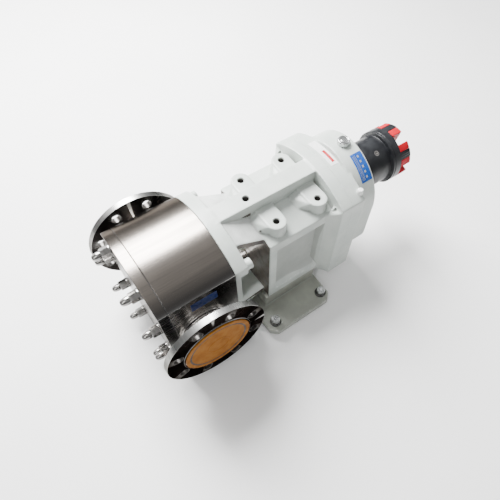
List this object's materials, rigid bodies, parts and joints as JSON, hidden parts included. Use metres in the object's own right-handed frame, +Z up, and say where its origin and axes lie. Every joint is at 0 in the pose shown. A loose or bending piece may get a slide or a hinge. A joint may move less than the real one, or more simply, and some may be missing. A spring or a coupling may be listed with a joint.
{
  "type": "rotary lobe pump",
  "caption": "Stainless rotary lobe pump with side flanges, capped ports, a pale painted timing gearbox on a flat foot and a jaw coupling with a red spider",
  "frame": {"origin": "Under the middle of the pump's box, on the plane of the foot's underside.", "axes": "+Z is up. +Y runs along both shafts, from the front cover to the coupling. +X points out of the outlet port and -X out of the inlet port."},
  "size_m": [0.3026, 0.6495, 0.3083],
  "materials": {
    "paint": "satin",
    "polished_steel": "polished",
    "fastener": "polished",
    "machined_steel": "satin",
    "bearing_steel": "polished",
    "black_iron": "satin",
    "red_elastomer": "satin",
    "amber_plastic": "satin",
    "black_rubber": "matte",
    "seal_carbon": "satin",
    "zinc": "satin"
  },
  "bodies": {
    "root": {"gearbox_housing": "paint", "gear_cover": "paint", "mounting_foot": "paint", "case_bolt_1": "paint", "case_bolt_2": "paint", "case_bolt_3": "paint", "case_bolt_4": "paint", "rotor_case": "polished_steel", "front_cover": "polished_steel", "inlet_flange": "polished_steel", "outlet_flange": "polished_steel", "cover_stud_1": "fastener", "cover_stud_2": "fastener", "cover_stud_3": "fastener", "cover_stud_4": "fastener", "cover_stud_5": "fastener", "cover_stud_6": "fastener", "cover_stud_7": "fastener", "cover_stud_8": "fastener", "cover_dome_nut_1": "fastener", "cover_dome_nut_2": "fastener", "cover_dome_nut_3": "fastener", "cover_dome_nut_4": "fastener", "cover_dome_nut_5": "fastener", "cover_dome_nut_6": "fastener", "cover_dome_nut_7": "fastener", "cover_dome_nut_8": "fastener", "drive_front_outer_race": "bearing_steel", "drive_rear_outer_race": "bearing_steel", "driven_front_outer_race": "bearing_steel", "driven_rear_outer_race": "bearing_steel", "inlet_cap": "amber_plastic", "outlet_cap": "amber_plastic", "front_cover_o_ring": "black_rubber", "input_lip_seal": "black_rubber", "drive_seal_seat": "seal_carbon", "driven_seal_seat": "seal_carbon", "oil_filler_cap": "zinc", "oil_drain_plug": "zinc", "foot_bolt_1": "zinc", "foot_bolt_2": "zinc", "foot_bolt_3": "zinc", "foot_bolt_4": "zinc"},
    "drive": {"drive_shaft": "machined_steel", "drive_rotor": "machined_steel", "drive_rotor_nut": "fastener", "drive_seal_ring": "machined_steel", "drive_front_inner_race": "bearing_steel", "drive_rear_inner_race": "bearing_steel", "drive_gear": "machined_steel", "coupling_hub": "black_iron", "coupling_spider": "red_elastomer"},
    "driven": {"driven_shaft": "machined_steel", "driven_rotor": "machined_steel", "driven_rotor_nut": "fastener", "driven_seal_ring": "machined_steel", "driven_front_inner_race": "bearing_steel", "driven_rear_inner_race": "bearing_steel", "driven_gear": "machined_steel"}
  },
  "joints": [
    {"name": "drive_spin", "type": "hinge", "parent": "root", "child": "drive", "pos_m": [0, 0, 0.202], "axis": [0, 1, 0], "continuous": true},
    {"name": "driven_spin", "type": "hinge", "parent": "root", "child": "driven", "pos_m": [0, 0, 0.102], "axis": [0, 1, 0], "continuous": true}
  ],
  "couplings": [
    {"joint": "driven_spin", "follows": "drive_spin", "ratio": -1}
  ]
}
